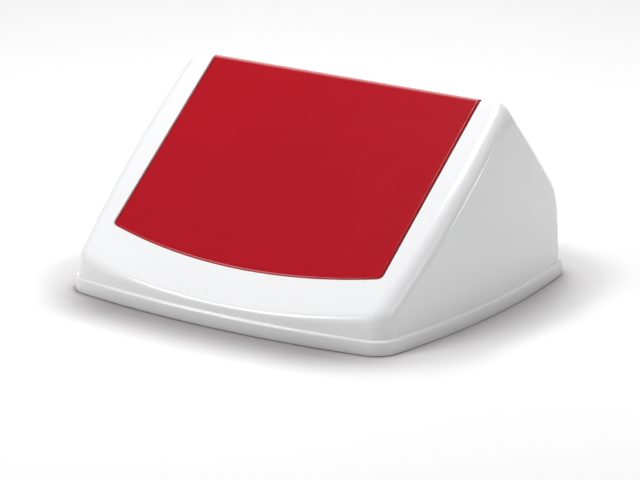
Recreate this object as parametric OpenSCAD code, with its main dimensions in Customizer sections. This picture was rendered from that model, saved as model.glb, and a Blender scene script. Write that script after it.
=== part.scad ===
// Swing-flap hood for a rectangular waste bin.
// Origin at the middle of the rim's lower edge, +Z up, the flap's long slope facing -Y. Millimetres.

/* [Rim] */
// Width over the rim, side to side at its widest
rim_w = 366; // [350:1:400]
// Depth over the rim, front to back at its deepest
rim_d = 332; // [320:1:350]
// Height of the rim skirt
rim_h = 13.5; // [11:0.5:16]
// How far the front and back edges bow outwards over the full width
front_bow = 19; // [10:0.5:22]
// How far the side edges bow outwards over the full depth
side_bow = 18.5; // [10:0.5:20]
// Plan radius of the rim's corners
corner_r = 14; // [8:1:18]
// Rounding of the rim's top edge
rim_edge_r = 2.5; // [0.5:0.5:2.5]

/* [Hood] */
// Wall thickness of the hood and the rim
wall = 2.5; // [2:0.1:3]
// Step from the rim's outer face in to the hood's wall
ledge = 3; // [2:0.5:4]
// Distance of the ridge line behind the rim's centre, before rounding
ridge_y = 40.3; // [30:0.1:50]
// Height of the ridge line before rounding
ridge_z = 182.9; // [175:0.1:190]
// Angle of the front slope above the horizontal
slope_angle = 38.6; // [37:0.1:40]
// Angle of the back slope below the horizontal
back_angle = 44.6; // [42:0.1:47]
// Rounding along the ridge
ridge_r = 8.3; // [7:0.1:12]
// Rounding between the back slope and the back wall
blend_r = 58; // [40:1:60]
// Rounding between the front wall and the front slope
crease_r = 7; // [4:0.5:10]
// Radius of the same crease at the hood's corners, where the front wall is higher
crease_end_r = 24; // [10:1:30]
// Rounding along the side edges
side_r = 13.6; // [10:0.1:16]
// Inward lean of the side walls, as a tangent
side_draft = 0.04; // [0.02:0.01:0.06]
// Inward lean of the front and back walls, as a tangent
end_draft = 0.03; // [0.01:0.01:0.05]

/* [Flap] */
// Width of the flap
flap_w = 287; // [270:1:288]
// Thickness of the flap's skin
flap_t = 2.8; // [2.4:0.1:3]
// Distance of the flap's front edge from the rim's centre, at mid width
flap_front = 131.5; // [120:0.5:133]
// How far the middle of the flap's front edge reaches beyond its corners, in plan
flap_bow = 15; // [8:0.5:18]
// Distance of the flap's back edge behind the rim's centre
flap_back = 118; // [110:1:120]
// Depth of the stiffening ribs and side cheeks under the flap's outer face
rib_depth = 8; // [6:0.5:9]
// Gap between the flap and the window's front and sides
gap = 0.9; // [0.8:0.1:2]
// Gap behind the flap's back edge, which swings towards the hood as it opens
back_gap = 2.5; // [2.2:0.1:4]

/* [Hinge] */
// Distance of the pivot line ahead of the rim's centre, straight above the flap's centre of mass
pivot_front = 2.1; // [0:0.1:10]
// Depth of the pivot line under the outer face of the front slope
pivot_depth = 10; // [9:0.5:12]
// Diameter of the pivot pins
pin_d = 6; // [5:0.5:7]
// Radial running clearance of the pins in their bushes
pin_clear = 0.05; // [0.02:0.01:0.1]
// Swing of the flap each way from rest, in degrees
swing = 45; // [30:1:50]

/* [Hidden] */
$fn = 48;

half_w = rim_w / 2;
half_d = rim_d / 2;
slope_along = [cos(slope_angle), sin(slope_angle)];
slope_out = [-sin(slope_angle), cos(slope_angle)];
back_along = [cos(back_angle), -sin(back_angle)];
back_out = [sin(back_angle), cos(back_angle)];
ridge = [ridge_y, ridge_z];

// Flap: distances along the front slope and the back slope, measured from the ridge line
front_reach = (flap_front + ridge_y) / cos(slope_angle);
back_reach = (flap_back - ridge_y) / cos(back_angle);
bow_reach = flap_bow / cos(slope_angle);
flap_arc_r = (pow(flap_w / 2, 2) + pow(bow_reach, 2)) / (2 * bow_reach);
cheek_t = 2.5;
rib_t = 2;
rib_x = 48;

// Pivot line in Y and Z
pivot_s = (pivot_front + ridge_y + pivot_depth * sin(slope_angle)) / cos(slope_angle);
pivot = ridge - slope_along * pivot_s - slope_out * pivot_depth;

// Stack of hinge pieces outwards along X, right-hand side
bush_flange_t = 1.5;
bracket_t = 12;
head_t = 2;
inner_boss = 5;
side_play = 0.3;
bracket_x = flap_w / 2 + 3.5;
bracket_end = bracket_x + bracket_t;
flange_x = bracket_x - bush_flange_t;
boss_x = flange_x - side_play;
boss_in = flap_w / 2 - cheek_t - inner_boss;
clip_t = 1.2;
clip_x = bracket_end + side_play;
pin_end = clip_x + clip_t + 1.5;
groove_r = pin_d / 2 - 0.7;

// Bracket, bush and stops, as radii about the pivot line and places along the slope
bush_r = 4.5;
flange_r = 6.5;
bearing_r = 13;
screw_s = 17.5;
screw_x = bracket_x + bracket_t / 2;
screw_boss_r = 3.5;
screw_boss_h = 3.5;
screw_r = 1.5;
screw_head_r = 3;
screw_clear = 0.3;
plate_t = 2.5;
plate_half = 22;
plate_z = -wall - screw_boss_h;
bracket_neck = 6.5;
stop_r = 10;
lug_r = 1.6;
buffer_r = 2.2;
buffer_stem_r = 1.5;
stop_slack = 0.1;
stop_step = 2 * asin((lug_r + buffer_r + stop_slack) / 2 / stop_r);

// Locating fins that centre the hood in the bin's mouth
fin_t = 2;
fin_in = 9;
fin_top = 20;
fin_root = 14;
fin_toe = 3;
fin_x = 95;
fin_y = 75;

function unit(v) = v / norm(v);
function bow(x) = front_bow * pow(x / half_w, 2);
function end_y(x) = half_d - bow(x);
function edge_x(y) = half_w - side_bow * pow(y / half_d, 2);
function wall_x(y, z) = edge_x(y) - ledge - side_draft * (z - rim_h);
function rim_corner_x(n, x = half_w) = n == 0 ? x : rim_corner_x(n - 1, edge_x(end_y(x)));

// Crossing of the line through p along u with the line through q along v
function meet(p, u, q, v) = p + u * cross(q - p, v) / cross(u, v);

// Arc of radius r that rounds the corner c between the directions back and fore
function rounding(c, back, fore, r, n) =
    let (
        half = acos(back * fore) / 2,
        o = c + unit(back + fore) * r / sin(half),
        s = back * r / tan(half) + c - o,
        e = fore * r / tan(half) + c - o,
        turn = atan2(cross(s, e), s * e)
    )
    [for (i = [0:n]) let (a = turn * i / n, side = [-s[1], s[0]]) o + s * cos(a) + side * sin(a)];

// Points that divide the straight line from p to q into a number of steps, without its ends
function between(p, q, steps) = [for (i = [1:1:steps - 1]) p + (q - p) * i / steps];
function last(v) = v[len(v) - 1];

// Front-to-back section of the hood, offset inwards and ending at the height foot.
// Where the side rounding takes it deeper still, the ridge gets rounder.
function section(inset, end_bow, foot, steps = 1, deep = 0) =
    let (
        full = inset + deep,
        front = [-(half_d - ledge - end_bow) + full, rim_h],
        up = unit([end_draft, 1]),
        slope = ridge - slope_out * full,
        back_slope = ridge - back_out * full,
        rear = [half_d - ledge - end_bow - full, rim_h],
        down = unit([end_draft, -1]),
        crease_at = meet(front, up, slope, slope_along),
        ridge_at = meet(slope, slope_along, back_slope, back_along),
        blend_at = meet(back_slope, back_along, rear, down),
        crease_there = crease_r + (crease_end_r - crease_r) * end_bow / front_bow,
        crease = rounding(crease_at, -up, slope_along, max(crease_there - inset, 0.2), 7),
        top = rounding(ridge_at, -slope_along, back_along, max(ridge_r - inset + deep, 0.2), 8),
        blend = rounding(blend_at, -back_along, down, max(blend_r - full, 0.2), 12)
    )
    concat(
        [front + up * (foot - rim_h) / up[1]],
        crease, between(last(crease), top[0], steps),
        top, between(last(top), blend[0], steps / 2), blend,
        [rear + down * (foot - rim_h) / down[1]]
    );

// Points of the hood's skin, offset inwards. The skin is convex, so its hull is the solid.
function skin(inset, foot) =
    let (fillet = side_r - inset, flat_x = 138, side_y = half_d - front_bow - side_r)
    concat(
        [for (x = [-flat_x:flat_x / 4:flat_x]) for (p = section(inset, bow(x), foot))
            [x, p[0], p[1]]],
        [for (side = [-1, 1]) for (a = [0:15:90])
            let (out = inset + fillet * (1 - sin(a)), x = wall_x(half_d - ledge, rim_h) - out)
            for (p = section(inset, bow(x), foot, 14, fillet * (1 - cos(a))))
                [side * (wall_x(p[0], p[1]) - out), p[0], p[1]]],
        [for (side = [-1, 1]) for (y = [-side_y:side_y / 12:side_y])
            [side * (wall_x(y, foot) - inset), y, foot]]
    );

// Line of the flap's section at a depth under its outer face, from its front end to its back end
function flap_line(depth, front_end, back_end) =
    let (
        slope = ridge - slope_out * depth,
        back_slope = ridge - back_out * depth,
        top = meet(slope, slope_along, back_slope, back_along)
    )
    concat(
        [slope - slope_along * front_end],
        rounding(top, -slope_along, back_along, max(ridge_r - depth, 0.2), 12),
        [back_slope + back_along * back_end]
    );
function reversed(v) = [for (i = [len(v) - 1:-1:0]) v[i]];
function flap_band(from, to, front_end, back_end) =
    concat(flap_line(from, front_end, back_end), reversed(flap_line(to, front_end, back_end)));

// Extrudes a section drawn in Y and Z from x0 over the length w
module along_x(x0, w) {
    translate([x0, 0, 0]) rotate([90, 0, 90]) linear_extrude(w) children();
}

// Places children with +Y up the front slope and +Z out of it, opposite the pivot line
module on_slope(depth = 0) {
    translate([0, pivot[0], pivot[1]]) rotate([slope_angle, 0, 0])
        translate([0, 0, pivot_depth - depth]) children();
}

// Right-hand pieces as drawn, left-hand ones mirrored
module on_side(side) {
    if (side > 0) children();
    else mirror([1, 0, 0]) children();
}

module solid_of(points) {
    hull() polyhedron(points, [[for (i = [0:len(points) - 1]) i]]);
}

module rim_2d(inset) {
    corner_x = rim_corner_x(6);
    corner_y = end_y(corner_x);
    steps = 12;
    front = [for (i = [0:steps - 1]) let (x = corner_x * (2 * i / steps - 1)) [x, -end_y(x)]];
    right = [for (i = [0:steps - 1]) let (y = corner_y * (2 * i / steps - 1)) [edge_x(y), y]];
    offset(r = corner_r) offset(delta = -corner_r - inset) polygon(concat(front, right, -front, -right));
}

module rim() {
    hull() for (a = [0:30:90])
        linear_extrude(rim_h - rim_edge_r * (1 - sin(a))) rim_2d(rim_edge_r * (1 - cos(a)));
}

// A fin hanging from the hood's inner wall, pointing along +Y, with its outer side slanted as a lead-in
module fin() {
    hull() {
        translate([-fin_t / 2, -1, fin_root]) cube([fin_t, fin_in + 1, fin_top - fin_root]);
        translate([-fin_t / 2, fin_in - 3, fin_toe]) cube([fin_t, 3, 1]);
    }
}

module fins() {
    for (side = [0, 180]) rotate([0, 0, side]) {
        for (x = [-fin_x, 0, fin_x]) translate([x, -(end_y(x) - ledge - wall), 0]) fin();
        for (y = [-fin_y, fin_y]) translate([wall_x(y, rim_h) - wall, y, 0]) rotate([0, 0, 90]) fin();
    }
}

// The cylinder that cuts the flap's curved front edge, grown by a margin
module front_arc(margin) {
    reach = 160;
    on_slope() translate([0, flap_arc_r - front_reach + pivot_s, -reach])
        cylinder(r = flap_arc_r + margin, h = 2 * reach, $fn = 240);
}

module window() {
    spare = 6;
    half = flap_w / 2 + gap;
    intersection() {
        along_x(-half, 2 * half)
            polygon(flap_band(-spare, rib_depth + spare, front_reach + spare, back_reach + back_gap));
        front_arc(gap);
    }
}

module screw_bosses() {
    for (side = [-1, 1]) for (s = [-screw_s, screw_s])
        on_slope() translate([side * screw_x, s, plate_z])
            cylinder(r = screw_boss_r, h = screw_boss_h + wall / 2);
}

module screw_holes() {
    for (side = [-1, 1]) for (s = [-screw_s, screw_s])
        on_slope() translate([side * screw_x, s, plate_z - 1])
            cylinder(r = screw_r, h = screw_boss_h + wall / 2 + 1);
}

module hood() {
    color("white") difference() {
        union() {
            difference() {
                union() {
                    rim();
                    solid_of(skin(0, rim_h - 2));
                }
                solid_of(skin(wall, rim_h - wall - 1));
                translate([0, 0, -1]) linear_extrude(rim_h - wall + 1) rim_2d(wall);
            }
            fins();
            screw_bosses();
        }
        window();
        screw_holes();
    }
}

// The angled plate with its curved front edge, hollowed underneath between two cheeks and two ribs
module flap_plate() {
    bay_edges = [flap_w / 2 - cheek_t, rib_x + rib_t / 2, rib_x - rib_t / 2];
    spare = 4;
    difference() {
        intersection() {
            along_x(-flap_w / 2, flap_w) polygon(flap_band(0, rib_depth, front_reach + spare, back_reach));
            front_arc(0);
        }
        for (x = [-bay_edges[0], -bay_edges[2], bay_edges[1]]) {
            w = x == -bay_edges[2] ? 2 * bay_edges[2] : bay_edges[0] - bay_edges[1];
            along_x(x, w)
                polygon(flap_band(flap_t, rib_depth + spare, front_reach + 2 * spare, back_reach + spare));
        }
    }
}

// Ear round the pivot line with a tab for the stop lug.
// It is drawn with +Y out of the slope and the pivot at the centre.
module ear_2d() {
    ear_r = 9;
    neck = 8;
    tab = 3.4;
    circle(r = ear_r);
    translate([-neck, 0]) square([2 * neck, pivot_depth - flap_t / 2]);
    translate([-tab, -stop_r - tab]) square([2 * tab, stop_r]);
}

// What the hinge needs on each cheek: an ear, a boss for the pin and a lug that meets the buffers
module flap_hinge() {
    boss_r = 6;
    set_back = 0.3;
    ear_x = flap_w / 2 - cheek_t - set_back;
    lug_h = cheek_t + 3;
    on_slope(pivot_depth) rotate([90, 0, 90]) {
        translate([0, 0, ear_x]) linear_extrude(cheek_t) ear_2d();
        translate([0, 0, boss_in]) cylinder(r = boss_r, h = boss_x - boss_in);
        translate([0, -stop_r, ear_x + 0.5]) cylinder(r = lug_r, h = lug_h - 0.5);
    }
}

module flap() {
    color("crimson") difference() {
        union() {
            flap_plate();
            for (side = [-1, 1]) on_side(side) flap_hinge();
        }
        for (side = [-1, 1]) on_side(side) on_slope(pivot_depth) translate([boss_in - 1, 0, 0])
            rotate([0, 90, 0]) cylinder(d = pin_d, h = boss_x - boss_in + 2);
    }
}

// Side view of the bearing bracket, with +Y out of the slope and the pivot at the centre
module bracket_2d() {
    top = pivot_depth + plate_z;
    difference() {
        union() {
            intersection() {
                circle(r = bearing_r);
                translate([-plate_half, -plate_half]) square([2 * plate_half, plate_half + top]);
            }
            translate([-bracket_neck, 0]) square([2 * bracket_neck, top + screw_boss_h - 1]);
            translate([-plate_half, top - plate_t]) square([2 * plate_half, plate_t]);
        }
        circle(r = bush_r);
        for (s = [-1, 1]) rotate(s * (swing + stop_step)) translate([0, -stop_r]) circle(r = buffer_stem_r);
    }
}

module hinge_bracket(side) {
    color("gainsboro") on_side(side) difference() {
        on_slope(pivot_depth) translate([bracket_x, 0, 0])
            rotate([90, 0, 90]) linear_extrude(bracket_t) bracket_2d();
        for (s = [-screw_s, screw_s])
            on_slope() translate([screw_x, s, plate_z - plate_t - 1])
                cylinder(r = screw_r + screw_clear, h = plate_t + 2);
    }
}

// Two pan-head screws driven up through the bracket's plate
module bracket_screws(side) {
    color("silver") on_side(side) for (s = [-screw_s, screw_s])
        on_slope() translate([screw_x, s, plate_z - plate_t]) difference() {
            union() {
                translate([0, 0, -head_t]) cylinder(r = screw_head_r, h = head_t);
                cylinder(r = screw_r, h = plate_t + screw_boss_h);
            }
            for (a = [0, 90]) rotate([0, 0, a]) translate([-screw_head_r * 0.6, -0.4, -head_t - 1])
                cube([screw_head_r * 1.2, 0.8, 2]);
        }
}

// Flanged plain bush pressed into the bracket from the flap's side
module bush(side) {
    length = bush_flange_t + bracket_t;
    color("ivory") on_side(side) on_slope(pivot_depth) translate([flange_x, 0, 0]) rotate([0, 90, 0])
        difference() {
            union() {
                cylinder(r = flange_r, h = bush_flange_t);
                cylinder(r = bush_r, h = length);
            }
            translate([0, 0, -1]) cylinder(r = pin_d / 2 + pin_clear, h = length + 2);
        }
}

// Two rubber buffers plugged into the bracket, one for each end of the swing
module stop_buffers(side) {
    stem = 5;
    buffer_h = 2.8;
    color("dimgray") on_side(side) on_slope(pivot_depth) for (s = [-1, 1])
        translate([bracket_x, 0, 0]) rotate([s * (swing + stop_step), 0, 0]) translate([0, 0, -stop_r])
            rotate([0, 90, 0]) union() {
                translate([0, 0, -buffer_h]) cylinder(r = buffer_r, h = buffer_h);
                cylinder(r = buffer_stem_r, h = stem);
            }
}

// Headed pin, fast in the flap's boss and turning in the bush, grooved for its clip
module pivot_pin(side) {
    pin_head_r = 5;
    color("lightgray") on_side(side) on_slope(pivot_depth) translate([boss_in, 0, 0]) rotate([0, 90, 0])
        difference() {
            union() {
                translate([0, 0, -head_t]) cylinder(r = pin_head_r, h = head_t);
                cylinder(d = pin_d, h = pin_end - boss_in);
            }
            translate([0, 0, clip_x - boss_in]) difference() {
                cylinder(r = pin_d, h = clip_t);
                translate([0, 0, -1]) cylinder(r = groove_r, h = clip_t + 2);
            }
        }
}

// Open ring snapped sideways into the pin's groove
module pin_clip(side) {
    clip_r = 6;
    mouth = groove_r * 1.6;
    color("silver") on_side(side) on_slope(pivot_depth) translate([clip_x, 0, 0])
        rotate([90, 0, 90]) linear_extrude(clip_t) difference() {
            circle(r = clip_r);
            circle(r = groove_r);
            translate([-mouth / 2, -clip_r - 1]) square([mouth, clip_r + 1]);
        }
}

hood();
flap();
hinge_bracket(-1);  // hinge_bracket_left
hinge_bracket(1);  // hinge_bracket_right
bracket_screws(-1);  // bracket_screws_left
bracket_screws(1);  // bracket_screws_right
bush(-1);  // bush_left
bush(1);  // bush_right
stop_buffers(-1);  // stop_buffers_left
stop_buffers(1);  // stop_buffers_right
pivot_pin(-1);  // pivot_pin_left
pivot_pin(1);  // pivot_pin_right
pin_clip(-1);  // pin_clip_left
pin_clip(1);  // pin_clip_right
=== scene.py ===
"""Looks of the swing-flap hood: smooth shells for the hood and the flap, materials, studio and camera."""
import math

import bmesh
import bpy
import numpy as np
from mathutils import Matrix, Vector


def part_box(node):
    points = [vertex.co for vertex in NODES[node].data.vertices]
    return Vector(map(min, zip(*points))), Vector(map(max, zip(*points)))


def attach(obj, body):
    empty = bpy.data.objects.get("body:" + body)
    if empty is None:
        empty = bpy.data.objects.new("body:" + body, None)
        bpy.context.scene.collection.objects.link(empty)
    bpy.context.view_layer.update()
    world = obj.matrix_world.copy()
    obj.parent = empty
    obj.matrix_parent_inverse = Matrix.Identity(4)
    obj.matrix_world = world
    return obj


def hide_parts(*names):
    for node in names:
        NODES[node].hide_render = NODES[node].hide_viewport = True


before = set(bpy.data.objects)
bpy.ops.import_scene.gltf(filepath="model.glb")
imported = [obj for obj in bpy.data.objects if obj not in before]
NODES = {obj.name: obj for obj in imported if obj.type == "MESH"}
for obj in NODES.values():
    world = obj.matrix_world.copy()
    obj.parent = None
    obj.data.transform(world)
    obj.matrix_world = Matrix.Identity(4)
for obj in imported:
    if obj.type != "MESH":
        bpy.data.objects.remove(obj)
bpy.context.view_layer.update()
MM = 0.001

# ---------------------------------------------------------------- driving dimensions, in millimetres
hood_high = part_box("hood")[1]
HALF_W = round(hood_high.x / MM, 1)
HALF_D = round(hood_high.y / MM, 1)

# Rim: height of its skirt, bows of its long and short sides, plan corners, upper and lower edges
RIM_H = 13.5
FRONT_BOW = 19.0
SIDE_BOW = 18.5
CORNER_R = 14.0
RIM_EDGE_R = 2.5
RIM_FOOT_R = 1.1

# How far the middle of a quarter round lies inside its corner's two faces, as a share of its radius
ARC_DEPTH = 0.3

# Hood: wall, ledge inside the rim, ridge line as (y, z), slopes and the roundings between them
WALL = 2.5
LEDGE = 3.0
RIDGE = np.array([40.3, 182.9])
SLOPE_ANGLE = math.radians(38.6)
BACK_ANGLE = math.radians(44.6)
RIDGE_R = 8.3
BLEND_R = 58.0
CREASE_R = 7.0
CREASE_END_R = 24.0
SIDE_R = 13.6
SIDE_DRAFT = 0.04
END_DRAFT = 0.03

# Smallest radius that a rounding keeps when it is offset inwards
TINY_R = 0.2

# Flap: half width, thickness, reach to the front and back in plan, depth of its ribs and cheeks
FLAP_HALF = 143.5
FLAP_T = 2.8
FLAP_FRONT = 131.5
FLAP_BOW = 15.0
FLAP_BACK = 118.0
RIB_DEPTH = 8.0
RIB_T = 2.0
RIB_X = 48.0
CHEEK_T = 2.5

# Gap round the flap, its plan corners, the chamfer along its sides and the rounding of its ends
GAP = 0.9
BACK_GAP = 2.5
PLAN_R = 3.5
SIDE_EDGE_W = 2.3
SIDE_EDGE_R = 2.3
SIDE_EDGE_SOFT = 0.1
END_EDGE_W = 2.0
END_EDGE_R = 1.4

# Pivot line: distance in front of the hood's middle, and depth under the slope's outer face
PIVOT_FRONT = 2.1
PIVOT_DEPTH = 10.0

# Hinge parts on the flap, as places across the hood and radii about the pivot line
EAR_X = 140.7
EAR_T = 2.5
EAR_R = 9.0
EAR_NECK = 8.0
EAR_TAB = 3.4
BOSS_IN = 136.0
BOSS_OUT = 145.2
BOSS_R = 6.0
STOP_R = 10.0
LUG_R = 1.6
LUG_OUT = 146.2

# Bosses for the brackets' screws, and the fins that centre the hood in the bin's mouth
SCREW_X = 153.0
SCREW_S = 17.5
SCREW_BOSS_R = 3.5
SCREW_BOSS_H = 3.5
FIN_T = 2.0
FIN_IN = 9.0
FIN_TIP = 3.0
FIN_TOP = 20.0
FIN_ROOT = 14.0
FIN_TOE = 3.0
FIN_XS = (-95.0, 0.0, 95.0)
FIN_YS = (-75.0, 75.0)
ROOTED = 1.0

# Steps of the meshes along each stretch of the hood's section and across it
N_WALL, N_CREASE, N_APRON, N_SLOPE, N_RIDGE = 4, 10, 10, 30, 16
N_BACK, N_REST, N_BLEND, N_REAR = 14, 6, 22, 5
N_MID, N_EDGE, N_FILLET, N_SIDE = 48, 3, 14, 16
ROW_FRONT = N_WALL + N_CREASE + N_APRON
ROW_BACK = ROW_FRONT + N_SLOPE + N_RIDGE + N_BACK

ALONG = np.array([math.cos(SLOPE_ANGLE), math.sin(SLOPE_ANGLE)])
OUT = np.array([-math.sin(SLOPE_ANGLE), math.cos(SLOPE_ANGLE)])
BACK_ALONG = np.array([math.cos(BACK_ANGLE), -math.sin(BACK_ANGLE)])
BACK_OUT = np.array([math.sin(BACK_ANGLE), math.cos(BACK_ANGLE)])
FRONT_REACH = (FLAP_FRONT + RIDGE[0]) / math.cos(SLOPE_ANGLE)
BACK_REACH = (FLAP_BACK - RIDGE[0]) / math.cos(BACK_ANGLE)
BOW_REACH = FLAP_BOW / math.cos(SLOPE_ANGLE)
ARC_R = (FLAP_HALF**2 + BOW_REACH**2) / (2 * BOW_REACH)
WINDOW_HALF = FLAP_HALF + GAP


# ---------------------------------------------------------------- outlines
def end_bow(x):
    """How far the rim's long sides have drawn in at x."""
    return FRONT_BOW * (x / HALF_W) ** 2


def wall_x(y, z):
    """Half width of the hood over its side walls."""
    return HALF_W - SIDE_BOW * (y / HALF_D) ** 2 - LEDGE - SIDE_DRAFT * (z - RIM_H)


def unit(v):
    """v at length 1."""
    return v / np.linalg.norm(v)


def cross(a, b):
    """Cross product of two plane vectors."""
    return a[0] * b[1] - a[1] * b[0]


def meet(p, u, q, v):
    """Crossing of the line through p along u with the line through q along v."""
    return p + u * cross(q - p, v) / cross(u, v)


def rounding(c, back, fore, r, n):
    """Points of the arc of radius r that rounds the corner c between the directions back and fore."""
    half = math.acos(back @ fore) / 2
    centre = c + unit(back + fore) * r / math.sin(half)
    s = c + back * r / math.tan(half) - centre
    e = c + fore * r / math.tan(half) - centre
    turn = math.atan2(cross(s, e), s @ e)
    side = np.array([-s[1], s[0]])
    angles = turn * np.arange(n + 1)[:, None] / n
    return centre + s * np.cos(angles) + side * np.sin(angles)


def line(p, q, n):
    """n steps from p towards q, without q."""
    t = np.arange(n)[:, None] / n
    return p + (q - p) * t


def arc_reach(x, margin):
    """Distance of the flap's or window's curved front edge below the ridge line, along the slope."""
    half = FLAP_HALF + margin
    x = min(abs(x), half)
    corner = max(x - half + PLAN_R + margin, 0)
    round_off = PLAN_R + margin - math.sqrt(max((PLAN_R + margin) ** 2 - corner**2, 0))
    return FRONT_REACH - ARC_R + math.sqrt((ARC_R + margin) ** 2 - x * x) - round_off


def stations(margin):
    """Stations over the width of the flap or the window, closer together round the front corners."""
    half, r = FLAP_HALF + margin, PLAN_R + margin
    turn = np.radians(np.arange(6, 91, 6))
    ends = half - r + r * np.sin(turn)
    return np.concatenate([-ends[::-1], np.linspace(-(half - r), half - r, N_MID + 1), ends])


def section(inset, bow, x, foot, deep=0.0):
    """Front-to-back section of the hood, with a row on the window's front edge and one on its back edge."""
    full = inset + deep
    front = np.array([-(HALF_D - LEDGE - bow) + full, RIM_H])
    up = unit(np.array([END_DRAFT, 1]))
    slope = RIDGE - OUT * full
    back_slope = RIDGE - BACK_OUT * full
    rear = np.array([HALF_D - LEDGE - bow - full, RIM_H])
    down = unit(np.array([END_DRAFT, -1]))
    crease_r = CREASE_R + (CREASE_END_R - CREASE_R) * bow / FRONT_BOW
    crease = rounding(meet(front, up, slope, ALONG), -up, ALONG, max(crease_r - inset, TINY_R), N_CREASE)
    top = rounding(meet(slope, ALONG, back_slope, BACK_ALONG), -ALONG, BACK_ALONG,
                   max(RIDGE_R - inset + deep, TINY_R), N_RIDGE)
    blend = rounding(meet(back_slope, BACK_ALONG, rear, down), -BACK_ALONG, down,
                     max(BLEND_R - full, TINY_R), N_BLEND)
    toe = front + up * (foot - RIM_H) / up[1]
    heel = rear + down * (foot - RIM_H) / down[1]
    window_front = slope - ALONG * arc_reach(x, GAP)
    window_back = back_slope + BACK_ALONG * (BACK_REACH + BACK_GAP)
    return np.concatenate([
        line(toe, crease[0], N_WALL), crease[:-1],
        line(crease[-1], window_front, N_APRON), line(window_front, top[0], N_SLOPE), top[:-1],
        line(top[-1], window_back, N_BACK), line(window_back, blend[0], N_REST), blend[:-1],
        line(blend[-1], heel, N_REAR), [heel],
    ])


def half_stations(inset, foot):
    """Sections from the window's side edge out to the side wall, for the right-hand side."""
    fillet = SIDE_R - inset
    found = []
    steps = [(0.0, t / N_EDGE) for t in range(1, N_EDGE)]
    steps += [(math.pi / 2 * i / N_FILLET, 1.0) for i in range(N_FILLET + 1)]
    for angle, share in steps:
        out = inset + fillet * (1 - math.sin(angle))
        deep = fillet * (1 - math.cos(angle))
        foot_x = wall_x(HALF_D - LEDGE - FRONT_BOW, foot) - out
        if share < 1:
            foot_x = WINDOW_HALF + (foot_x - WINDOW_HALF) * share
        yz = section(inset, end_bow(foot_x), WINDOW_HALF, foot, deep)
        x = wall_x(yz[:, 0], yz[:, 1]) - out
        if share < 1:
            x = WINDOW_HALF + (x - WINDOW_HALF) * share
        found.append(np.column_stack([x, yz]))
    return found


def skin_grid(inset, foot):
    """Grid of points of the hood's skin, stations from left to right and rows from front to back."""
    right = half_stations(inset, foot)
    mid = []
    for x in stations(GAP):
        yz = section(inset, end_bow(x), x, foot)
        mid.append(np.column_stack([np.full(len(yz), x), yz]))
    left = [p * [-1, 1, 1] for p in reversed(right)]
    return np.array(left + mid + right)


COL_LEFT = N_EDGE - 1 + N_FILLET + 1
COL_RIGHT = COL_LEFT + len(stations(GAP)) - 1


def side_grid(edge, inset, foot):
    """Side wall between the skin's last station and the foot: rows from front to back, columns downwards."""
    sign = 1 if edge[0, 0] > 0 else -1
    columns = []
    for _, y, z in edge:
        zs = z + (foot - z) * np.arange(N_SIDE + 1) / N_SIDE
        columns.append(np.column_stack([sign * (wall_x(y, zs) - inset), np.full(N_SIDE + 1, y), zs]))
    return np.array(columns)


def rim_value(x, y, inset):
    """Below 0 inside the rim's outline, above 0 outside it."""
    a = abs(x) - (HALF_W - inset - SIDE_BOW * (y / HALF_D) ** 2) + CORNER_R
    b = abs(y) - (HALF_D - inset - FRONT_BOW * (x / HALF_W) ** 2) + CORNER_R
    return np.minimum(np.maximum(a, b), 0) + np.hypot(np.maximum(a, 0), np.maximum(b, 0)) - CORNER_R


def rim_loop(like, inset, z):
    """The rim's outline, offset inwards, with one point outwards of each point of another loop."""
    way = like[:, :2] / np.linalg.norm(like[:, :2], axis=1)[:, None]
    low, high = np.zeros(len(way)), np.full(len(way), HALF_W + HALF_D)
    for _ in range(40):
        mid = (low + high) / 2
        outside = rim_value(way[:, 0] * mid, way[:, 1] * mid, inset) > 0
        high = np.where(outside, mid, high)
        low = np.where(outside, low, mid)
    return np.column_stack([way * low[:, None], np.full(len(way), z)])


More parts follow.
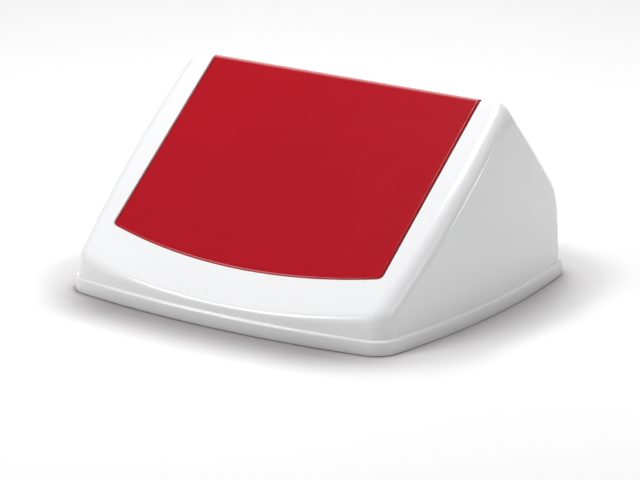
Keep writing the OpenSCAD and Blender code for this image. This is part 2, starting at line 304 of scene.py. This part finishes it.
# ---------------------------------------------------------------- mesh helpers
class Builder:
    """Collects points and faces, and makes one closed mesh of them."""

    def __init__(self):
        self.points = []
        self.faces = []

    def add(self, grid):
        """Adds an array of points and returns the array of their numbers."""
        grid = np.asarray(grid, float)
        first = len(self.points)
        self.points.extend(grid.reshape(-1, 3).tolist())
        return np.arange(first, len(self.points)).reshape(grid.shape[:-1])

    def sheet(self, ids, skip=None):
        """Quads over a grid of numbers, but for the block in skip, given as (from, to, from, to)."""
        for i in range(ids.shape[0] - 1):
            for j in range(ids.shape[1] - 1):
                if skip and skip[0] <= i < skip[1] and skip[2] <= j < skip[3]:
                    continue
                self.faces.append([ids[i, j], ids[i + 1, j], ids[i + 1, j + 1], ids[i, j + 1]])

    def strip(self, a, b, closed=False):
        """Quads between two rows of numbers of the same length."""
        n = len(a)
        for i in range(n if closed else n - 1):
            k = (i + 1) % n
            self.faces.append([a[i], a[k], b[k], b[i]])

    def prism(self, outline, place, across, up, along):
        """A closed prism over an outline of (across, up) points, standing at place and as long as along."""
        outline = np.asarray(outline, float)
        base = np.asarray(place, float) + outline[:, :1] * across + outline[:, 1:] * up
        ends = [self.add(base), self.add(base + along)]
        self.strip(ends[0], ends[1], closed=True)
        self.faces.extend([list(ends[0]), list(ends[1][::-1])])

    def make(self, name, smooth_angle=30):
        """One object of all points and faces, smooth but for edges sharper than smooth_angle."""
        mesh = bpy.data.meshes.new(name)
        points = [[c * MM for c in p] for p in self.points]
        faces = [[int(i) for i in f] for f in self.faces]
        mesh.from_pydata(points, [], faces)
        bm = bmesh.new()
        bm.from_mesh(mesh)
        bmesh.ops.remove_doubles(bm, verts=bm.verts, dist=1e-6)
        bmesh.ops.dissolve_degenerate(bm, edges=bm.edges, dist=1e-7)
        bmesh.ops.recalc_face_normals(bm, faces=bm.faces)
        for f in bm.faces:
            f.smooth = True
        for e in bm.edges:
            e.smooth = len(e.link_faces) == 2 and e.calc_face_angle(0) < math.radians(smooth_angle)
        bm.to_mesh(mesh)
        bm.free()
        piece = bpy.data.objects.new(name, mesh)
        bpy.context.scene.collection.objects.link(piece)
        return piece


def apply_modifiers(piece):
    """Replaces the mesh with its evaluated form, so that nothing is left on the piece."""
    graph = bpy.context.evaluated_depsgraph_get()
    mesh = bpy.data.meshes.new_from_object(piece.evaluated_get(graph))
    piece.modifiers.clear()
    piece.data = mesh


def round_edges(piece, width, segments, angle):
    """Rounds every edge that turns by more than angle, over a width in millimetres."""
    bevel = piece.modifiers.new("edge rounding", "BEVEL")
    bevel.width = width * MM
    bevel.segments = segments
    bevel.limit_method = "ANGLE"
    bevel.angle_limit = math.radians(angle)
    bevel.harden_normals = True
    bevel.miter_outer = "MITER_ARC"
    apply_modifiers(piece)


# ---------------------------------------------------------------- hood
def loop_of(grid, left, right):
    """Numbers round the foot: along the front, the right side, the back and the left side."""
    return np.concatenate([grid[:, 0], right[1:-1, -1], grid[::-1, -1], left[-2:0:-1, -1]])


def build_hood():
    """Outer and inner skins joined round the window, and the rim's profile swept round the foot."""
    b = Builder()
    shells = []
    for inset, foot in ((0.0, RIM_H), (WALL, RIM_H - WALL)):
        points = skin_grid(inset, foot)
        left_points = side_grid(points[0], inset, foot)
        right_points = side_grid(points[-1], inset, foot)
        grid, left, right = b.add(points), b.add(left_points), b.add(right_points)
        b.sheet(grid, skip=(COL_LEFT, COL_RIGHT, ROW_FRONT, ROW_BACK))
        b.sheet(left)
        b.sheet(right)
        shells.append((grid, left, right))
    (outer, *outer_sides), (inner, *inner_sides) = shells
    b.strip(outer[COL_LEFT:COL_RIGHT + 1, ROW_FRONT], inner[COL_LEFT:COL_RIGHT + 1, ROW_FRONT])
    b.strip(outer[COL_LEFT:COL_RIGHT + 1, ROW_BACK], inner[COL_LEFT:COL_RIGHT + 1, ROW_BACK])
    b.strip(outer[COL_LEFT, ROW_FRONT:ROW_BACK + 1], inner[COL_LEFT, ROW_FRONT:ROW_BACK + 1])
    b.strip(outer[COL_RIGHT, ROW_FRONT:ROW_BACK + 1], inner[COL_RIGHT, ROW_FRONT:ROW_BACK + 1])

    foot_loop = loop_of(outer, *outer_sides)
    foot_points = np.array([b.points[i] for i in foot_loop])
    low_r = RIM_FOOT_R
    low_slant = low_r * ARC_DEPTH
    profile = [(RIM_EDGE_R * (1 - math.sin(a)), RIM_H - RIM_EDGE_R * (1 - math.cos(a)))
               for a in np.radians(np.arange(0, 91, 15))]
    profile += [(0, low_r), (low_slant, low_slant), (low_r, 0), (WALL - low_r, 0),
                (WALL - low_slant, low_slant), (WALL, low_r), (WALL, RIM_H - WALL)]
    previous = foot_loop
    for inset, z in profile:
        loop = b.add(rim_loop(foot_points, inset, z))
        b.strip(previous, loop, closed=True)
        previous = loop
    b.strip(previous, loop_of(inner, *inner_sides), closed=True)
    hood = b.make("hood_shell")
    round_edges(hood, width=1.0, segments=4, angle=40)
    return hood


hood_shell = build_hood()
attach(hood_shell, "hood")
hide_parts("hood")


# ---------------------------------------------------------------- shapes round the pivot line
X = np.array([1.0, 0.0, 0.0])
Y = np.array([0.0, 1.0, 0.0])
Z = np.array([0.0, 0.0, 1.0])
UP_SLOPE = np.array([0.0, *ALONG])
OFF_SLOPE = np.array([0.0, *OUT])
PIVOT_REACH = (PIVOT_FRONT + RIDGE[0] + PIVOT_DEPTH * math.sin(SLOPE_ANGLE)) / math.cos(SLOPE_ANGLE)
PIVOT = np.array([0.0, *RIDGE]) - UP_SLOPE * PIVOT_REACH - OFF_SLOPE * PIVOT_DEPTH


def arc(r, start, stop, n):
    """Points of an arc about the origin, with angles in degrees."""
    turn = np.radians(np.linspace(start, stop, n))
    return np.column_stack([r * np.cos(turn), r * np.sin(turn)])


def circle(r, n):
    """n points round the origin."""
    return arc(r, 0, 360 - 360 / n, n)


def build_hood_fittings():
    """Locating fins round the mouth, and bosses that take the brackets' screws."""
    b = Builder()
    fin = [(-ROOTED, FIN_ROOT), (FIN_IN - FIN_TIP, FIN_TOE), (FIN_IN, FIN_TOE),
           (FIN_IN, FIN_TOP), (-ROOTED, FIN_TOP)]
    boss_depth = WALL + SCREW_BOSS_H
    boss_sink = 0.2
    for sign in (-1, 1):
        for x in FIN_XS:
            wall_y = sign * (HALF_D - end_bow(x) - LEDGE - WALL)
            b.prism(fin, (x - FIN_T / 2, wall_y, 0), -sign * Y, Z, FIN_T * X)
        for y in FIN_YS:
            side_x = sign * (wall_x(y, RIM_H) - WALL)
            b.prism(fin, (side_x, y - FIN_T / 2, 0), -sign * X, Z, FIN_T * Y)
        for s in (-SCREW_S, SCREW_S):
            foot = PIVOT + OFF_SLOPE * (PIVOT_DEPTH - boss_depth) + UP_SLOPE * s + sign * SCREW_X * X
            b.prism(circle(SCREW_BOSS_R, 24), foot, X, UP_SLOPE, OFF_SLOPE * (SCREW_BOSS_H + boss_sink))
    fittings = b.make("hood_fittings")
    round_edges(fittings, width=0.4, segments=2, angle=50)
    return fittings


hood_fittings = build_hood_fittings()
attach(hood_fittings, "hood")


# ---------------------------------------------------------------- flap
def flap_rows(depth, x, front_end, back_end):
    """Section of the flap at a depth under its outer face, stopping short of its front and back edges."""
    slope = RIDGE - OUT * depth
    back_slope = RIDGE - BACK_OUT * depth
    corner = meet(slope, ALONG, back_slope, BACK_ALONG)
    top = rounding(corner, -ALONG, BACK_ALONG, max(RIDGE_R - depth, TINY_R), N_RIDGE)
    start = slope - ALONG * (arc_reach(x, 0) - front_end)
    end = back_slope + BACK_ALONG * (BACK_REACH - back_end)
    return np.concatenate([line(start, top[0], N_SLOPE), top[:-1], line(top[-1], end, N_BACK), [end]])


def flap_bar(b, xs, d0, d1, front_end, back_end):
    """Closed bar between two depths, following the flap's section, over the stations xs."""
    faces = []
    for depth in (d0, d1):
        rows = [np.column_stack([np.full(len(r), x), r])
                for x in xs for r in [flap_rows(depth, x, front_end, back_end)]]
        faces.append(b.add(np.array(rows)))
    upper, lower = faces
    b.sheet(upper)
    b.sheet(lower)
    b.strip(upper[:, 0], lower[:, 0])
    b.strip(upper[:, -1], lower[:, -1])
    b.strip(upper[0], lower[0])
    b.strip(upper[-1], lower[-1])


def flap_section(x):
    """Outer section of the flap at x: points, outward directions and distances from the nearer end."""
    edge = END_EDGE_W * (1 - np.sin(np.radians(np.arange(90, -1, -15))))
    top = rounding(RIDGE, -ALONG, BACK_ALONG, RIDGE_R, N_RIDGE)
    start = RIDGE - ALONG * arc_reach(x, 0)
    end = RIDGE + BACK_ALONG * BACK_REACH
    front_line = line(start + ALONG * edge[-1], top[0], N_SLOPE)
    front = np.concatenate([start + ALONG * edge[:-1, None], front_line])
    back_line = line(top[-1], end - BACK_ALONG * edge[-1], N_BACK)
    back = np.concatenate([back_line, end - BACK_ALONG * edge[::-1, None]])
    ridge_out = (top[:-1] - (top[0] - OUT * RIDGE_R)) / RIDGE_R
    outs = np.concatenate([np.tile(OUT, (len(front), 1)), ridge_out, np.tile(BACK_OUT, (len(back), 1))])
    points = np.concatenate([front, top[:-1], back])
    margins = np.minimum(np.linalg.norm(points - start, axis=1), np.linalg.norm(points - end, axis=1))
    return points, outs, margins


def edge_drop(x, margin):
    """Drop of the flap's outer face at its edges: a soft chamfer at the sides, a rounding at the ends."""
    a = max(SIDE_EDGE_W - FLAP_HALF + abs(x), 0) / SIDE_EDGE_W
    b = min(max(END_EDGE_W - margin, 0) / END_EDGE_W, 1)
    soft = SIDE_EDGE_SOFT
    side = SIDE_EDGE_R * (math.hypot(a, soft) - soft) / (math.hypot(1, soft) - soft)
    end = END_EDGE_R * (1 - math.sqrt(1 - b * b))
    return min(math.hypot(side, end), SIDE_EDGE_R)


def build_flap_skin():
    """The flap's sheet, with its outer face taken down along the edges."""
    b = Builder()
    upper, lower = [], []
    for x in stations(0):
        points, outs, margins = flap_section(x)
        drops = np.array([edge_drop(x, m) for m in margins])[:, None]
        upper.append(np.column_stack([np.full(len(points), x), points - outs * drops]))
        lower.append(np.column_stack([np.full(len(points), x), points - outs * FLAP_T]))
    upper, lower = b.add(upper), b.add(lower)
    b.sheet(upper)
    b.sheet(lower)
    for k in (0, -1):
        b.strip(upper[:, k], lower[:, k])
        b.strip(upper[k], lower[k])
    return b.make("flap_skin", smooth_angle=40)


flap_skin = build_flap_skin()
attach(flap_skin, "flap")
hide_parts("flap")


def build_flap_ribs():
    """A cheek along each side of the flap and a rib at each third, rooted in its sheet."""
    b = Builder()
    set_back, end_set_back, root = 0.2, 0.5, 0.6
    cheek = (FLAP_HALF - CHEEK_T, FLAP_HALF - set_back)
    rib = (RIB_X - RIB_T / 2, RIB_X + RIB_T / 2)
    for span in (cheek, rib):
        for sign in (-1, 1):
            flap_bar(b, np.array(span) * sign, FLAP_T - root, RIB_DEPTH, end_set_back, end_set_back)
    ribs = b.make("flap_ribs")
    round_edges(ribs, width=0.3, segments=2, angle=40)
    return ribs


flap_ribs = build_flap_ribs()
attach(flap_ribs, "flap")


def build_flap_hinge():
    """An ear, a boss for the pin and a stop lug on each cheek."""
    b = Builder()
    neck_turn = math.degrees(math.acos(EAR_NECK / EAR_R))
    tab_turn = math.degrees(math.asin(EAR_TAB / EAR_R))
    top = PIVOT_DEPTH - FLAP_T / 2
    tab_end = -STOP_R - EAR_TAB
    ear = np.concatenate([
        [(EAR_NECK, top), (-EAR_NECK, top)], arc(EAR_R, 180 - neck_turn, 270 - tab_turn, 16),
        [(-EAR_TAB, tab_end), (EAR_TAB, tab_end)], arc(EAR_R, 270 + tab_turn, 360 + neck_turn, 16)])
    lug_in = EAR_X + 0.5
    for sign in (-1, 1):
        out = sign * X
        b.prism(ear, PIVOT + EAR_X * out, UP_SLOPE, OFF_SLOPE, EAR_T * out)
        b.prism(circle(BOSS_R, 45), PIVOT + BOSS_IN * out, UP_SLOPE, OFF_SLOPE, (BOSS_OUT - BOSS_IN) * out)
        b.prism(circle(LUG_R, 24), PIVOT + lug_in * out - OFF_SLOPE * STOP_R, UP_SLOPE, OFF_SLOPE,
                (LUG_OUT - lug_in) * out)
    hinge = b.make("flap_hinge")
    round_edges(hinge, width=0.35, segments=2, angle=50)
    return hinge


flap_hinge = build_flap_hinge()
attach(flap_hinge, "flap")


# ---------------------------------------------------------------- materials
# Scales of the colour clouds and of the gloss, and the height in metres of the surface ripple
CLOUD_SCALE = 9.0
GLOSS_SCALE = 34.0
RIPPLE_HEIGHT = 0.0002


def material(name, color, roughness, metallic=0.0):
    """A plain opaque material."""
    mat = bpy.data.materials.new(name)
    mat.use_nodes = True
    bsdf = mat.node_tree.nodes["Principled BSDF"]
    bsdf.inputs["Base Color"].default_value = (*color, 1)
    bsdf.inputs["Roughness"].default_value = roughness
    bsdf.inputs["Metallic"].default_value = metallic
    return mat


def finish(name, color, roughness, spread, tint, grain, bump, metallic=0.0, stretch=(1, 1, 1)):
    """Procedural finish, placed by object coordinates.

    The colour varies by tint in faint clouds, the roughness by spread, and grain and bump give a fine ripple.
    """
    mat = material(name, color, roughness, metallic)
    nodes, links = mat.node_tree.nodes, mat.node_tree.links
    bsdf = nodes["Principled BSDF"]
    place = nodes.new("ShaderNodeTexCoord")
    mapping = nodes.new("ShaderNodeMapping")
    mapping.inputs["Scale"].default_value = stretch
    links.new(place.outputs["Object"], mapping.inputs["Vector"])

    clouds = nodes.new("ShaderNodeTexNoise")
    clouds.inputs["Scale"].default_value = CLOUD_SCALE
    clouds.inputs["Detail"].default_value = 3.0
    ramp = nodes.new("ShaderNodeValToRGB")
    ramp.color_ramp.elements[0].position = 0.3
    ramp.color_ramp.elements[1].position = 0.7
    ramp.color_ramp.elements[0].color = (*[c * (1 - tint) for c in color], 1)
    ramp.color_ramp.elements[1].color = (*[min(1, c * (1 + tint)) for c in color], 1)
    links.new(mapping.outputs["Vector"], clouds.inputs["Vector"])
    links.new(clouds.outputs["Fac"], ramp.inputs["Fac"])
    links.new(ramp.outputs["Color"], bsdf.inputs["Base Color"])

    smear = nodes.new("ShaderNodeTexNoise")
    smear.inputs["Scale"].default_value = GLOSS_SCALE
    smear.inputs["Detail"].default_value = 4.0
    gloss = nodes.new("ShaderNodeMapRange")
    gloss.inputs["To Min"].default_value = roughness - spread
    gloss.inputs["To Max"].default_value = roughness + spread
    links.new(mapping.outputs["Vector"], smear.inputs["Vector"])
    links.new(smear.outputs["Fac"], gloss.inputs["Value"])
    links.new(gloss.outputs["Result"], bsdf.inputs["Roughness"])

    ripple = nodes.new("ShaderNodeTexNoise")
    ripple.inputs["Scale"].default_value = grain
    ripple.inputs["Detail"].default_value = 5.0
    relief = nodes.new("ShaderNodeBump")
    relief.inputs["Strength"].default_value = bump
    relief.inputs["Distance"].default_value = RIPPLE_HEIGHT
    links.new(mapping.outputs["Vector"], ripple.inputs["Vector"])
    links.new(ripple.outputs["Fac"], relief.inputs["Height"])
    links.new(relief.outputs["Normal"], bsdf.inputs["Normal"])
    return mat


def wear(piece, mat):
    """Gives a piece one material."""
    piece.data.materials.clear()
    piece.data.materials.append(mat)


HOOD_WHITE = finish("hood_white_plastic", (0.925, 0.928, 0.938), roughness=0.12, spread=0.02,
                    tint=0.006, grain=260, bump=0.05)
FLAP_RED = finish("flap_red_plastic", (0.445, 0.0065, 0.0165), roughness=0.20, spread=0.03,
                  tint=0.03, grain=420, bump=0.06)
for piece in (flap_skin, flap_ribs, flap_hinge):
    wear(piece, FLAP_RED)
for piece in (hood_shell, hood_fittings):
    wear(piece, HOOD_WHITE)

FINISHES = {
    "hinge_bracket": finish("bracket_grey_plastic", (0.62, 0.63, 0.65), roughness=0.45, spread=0.05,
                            tint=0.02, grain=900, bump=0.2),
    "bush": finish("bush_acetal", (0.78, 0.75, 0.66), roughness=0.35, spread=0.04,
                   tint=0.015, grain=700, bump=0.1),
    "stop_buffers": finish("buffer_rubber", (0.012, 0.012, 0.013), roughness=0.7, spread=0.06,
                           tint=0.2, grain=1400, bump=0.35),
    "pivot_pin": finish("pin_turned_steel", (0.56, 0.57, 0.58), roughness=0.28, spread=0.06,
                        tint=0.04, grain=500, bump=0.15, metallic=1.0, stretch=(6, 1, 1)),
    "pin_clip": finish("clip_spring_steel", (0.32, 0.33, 0.35), roughness=0.35, spread=0.05,
                       tint=0.06, grain=600, bump=0.1, metallic=1.0),
    "bracket_screws": finish("screw_zinc_plate", (0.62, 0.63, 0.64), roughness=0.3, spread=0.07,
                             tint=0.05, grain=800, bump=0.15, metallic=1.0),
}
for name, node in NODES.items():
    for start, look in FINISHES.items():
        if name.startswith(start):
            wear(node, look)


# ---------------------------------------------------------------- studio
AIR_STRENGTH = 0.08
FLOOR_HALF = 12.0
FLOOR_WHITE = (0.95, 0.95, 0.95)

# Painted shade on the floor: its colour by how open it lies, from covered to open, for cover within
# NEAR_REACH metres
NEAR_REACH = 0.08
NEAR_SHADES = ((0.5, (0.45, 0.435, 0.44)), (0.88, (0.72, 0.71, 0.715)), (0.985, FLOOR_WHITE))

# The painted shadow along the rim's front edge: its colour and strength, and in metres how far it reaches
# before and behind the edge, and where it fades across the hood
FRONT_SHADE = (0.28, 0.255, 0.26)
FRONT_STRENGTH = 0.9
FRONT_REACH = 0.075
FRONT_UNDER = 0.02
LEFT_FADE = (-0.2, -0.1)
RIGHT_FADE = (0.1, 0.21)


def floor_material():
    """White, with a soft painted shade close to the hood and along the rim's bowed front edge."""
    mat = material("studio_white_painted_shade", FLOOR_WHITE, 0.9)
    nodes, links = mat.node_tree.nodes, mat.node_tree.links

    def step(value, near, far, at_near, at_far):
        """A smooth change from at_near to at_far while value goes from near to far."""
        node = nodes.new("ShaderNodeMapRange")
        node.interpolation_type = "SMOOTHSTEP"
        node.inputs["From Min"].default_value = near
        node.inputs["From Max"].default_value = far
        node.inputs["To Min"].default_value = at_near
        node.inputs["To Max"].default_value = at_far
        links.new(value, node.inputs["Value"])
        return node.outputs["Result"]

    def calc(operation, a, b):
        """The result of an operation on two sockets or numbers."""
        node = nodes.new("ShaderNodeMath")
        node.operation = operation
        for slot, value in zip(node.inputs, (a, b)):
            if isinstance(value, float):
                slot.default_value = value
            else:
                links.new(value, slot)
        return node.outputs["Value"]

    # Painted shade: the floor's colour darkens where the hood covers it
    contact = nodes.new("ShaderNodeAmbientOcclusion")
    contact.inputs["Distance"].default_value = NEAR_REACH
    near = nodes.new("ShaderNodeValToRGB")
    stops = near.color_ramp.elements
    stops.new(0.5)
    for k in (2, 1, 0):
        stops[k].position = NEAR_SHADES[k][0]
        stops[k].color = (*NEAR_SHADES[k][1], 1)
    links.new(contact.outputs["AO"], near.inputs["Fac"])

    # Painted shadow: a dark band on the floor along the rim's bowed front edge
    ground = nodes.new("ShaderNodeTexCoord")
    split = nodes.new("ShaderNodeSeparateXYZ")
    links.new(ground.outputs["Object"], split.inputs["Vector"])
    across, back = split.outputs["X"], split.outputs["Y"]
    bow = calc("MULTIPLY", calc("MULTIPLY", across, across), FRONT_BOW / HALF_W ** 2 / MM)
    before_rim = calc("SUBTRACT", calc("SUBTRACT", bow, back), HALF_D * MM)
    share = step(before_rim, 0, FRONT_REACH, FRONT_STRENGTH, 0)
    share = calc("MULTIPLY", share, step(before_rim, -FRONT_UNDER, 0, 0, 1))
    share = calc("MULTIPLY", share, step(across, *LEFT_FADE, 0, 1))
    share = calc("MULTIPLY", share, step(across, *RIGHT_FADE, 1, 0))

    mix = nodes.new("ShaderNodeMixRGB")
    mix.inputs["Color2"].default_value = (*FRONT_SHADE, 1)
    links.new(share, mix.inputs["Fac"])
    links.new(near.outputs["Color"], mix.inputs["Color1"])
    links.new(mix.outputs["Color"], nodes["Principled BSDF"].inputs["Base Color"])
    return mat


floor_mesh = bpy.data.meshes.new("studio_floor")
floor_corners = [(x * FLOOR_HALF, y * FLOOR_HALF, 0) for x, y in ((-1, -1), (1, -1), (1, 1), (-1, 1))]
floor_mesh.from_pydata(floor_corners, [], [(0, 1, 2, 3)])
floor = bpy.data.objects.new("studio_floor", floor_mesh)
bpy.context.scene.collection.objects.link(floor)
wear(floor, floor_material())

world = bpy.data.worlds.new("studio_air")
bpy.context.scene.world = world
world.use_nodes = True
world.node_tree.nodes["Background"].inputs["Color"].default_value = (1, 1, 1, 1)
world.node_tree.nodes["Background"].inputs["Strength"].default_value = AIR_STRENGTH


def softbox(name, place, aim, width, height, power):
    """A rectangular area light at place, turned to aim, with lengths in metres and power in watts."""
    data = bpy.data.lights.new(name, "AREA")
    data.shape = "RECTANGLE"
    data.size = width
    data.size_y = height
    data.energy = power
    lamp = bpy.data.objects.new(name, data)
    lamp.location = place
    lamp.rotation_euler = (Vector(aim) - Vector(place)).to_track_quat("-Z", "Y").to_euler()
    lamp.visible_camera = False
    bpy.context.scene.collection.objects.link(lamp)


softbox("top_far", (0, 0.1, 3.05), (0, 0, 0.05), 1.6, 1.6, 16)
softbox("top_near", (0, 0.1, 1.65), (0, 0, 0.05), 0.85, 0.85, 16.5)
softbox("right", (2.72, -0.2, 1.25), (0, 0, 0.05), 1.0, 0.9, 6.3)
softbox("front_left", (-1.57, -2.07, 1.60), (0, 0, 0.05), 1.1, 0.9, 26.5)
softbox("low_front", (-1.3, -1.9, 0.42), (0, 0, 0.03), 1.6, 0.6, 3.2)
softbox("back_left", (-1.65, 2.10, 1.70), (0, 0, 0.05), 1.8, 2.4, 26)
softbox("back_floor", (-0.3, 2.2, 2.4), (-0.1, 1.9, 0), 1.8, 1.6, 9)
softbox("edge_strip", (2.22, 1.33, 0.26), (0, 0, 0.12), 0.5, 0.3, 3.2)

# ---------------------------------------------------------------- camera
# Angles round and above the hood, distance and aim in metres, a small shift that keeps the direction,
# and the sensor and lens in millimetres
AZIMUTH = math.radians(34.678)
ELEVATION = math.radians(16.952)
DISTANCE = 3.1375
AIM = Vector((0, 0, 0.070))
SHIFT_RIGHT, SHIFT_UP = -0.0003, -0.0309
SENSOR_WIDTH = 36.0
FOCAL_LENGTH = 197.25
level = math.cos(ELEVATION)
view = Vector((-math.sin(AZIMUTH) * level, math.cos(AZIMUTH) * level, -math.sin(ELEVATION)))
right = view.cross(Vector((0, 0, 1))).normalized()
up = right.cross(view)
camera_data = bpy.data.cameras.new("camera")
camera_data.sensor_width = SENSOR_WIDTH
camera_data.lens = FOCAL_LENGTH
camera = bpy.data.objects.new("camera", camera_data)
camera.location = AIM - view * DISTANCE + right * SHIFT_RIGHT + up * SHIFT_UP
camera.rotation_euler = view.to_track_quat("-Z", "Y").to_euler()
bpy.context.scene.collection.objects.link(camera)
bpy.context.scene.camera = camera
bpy.context.scene.view_settings.view_transform = "Standard"
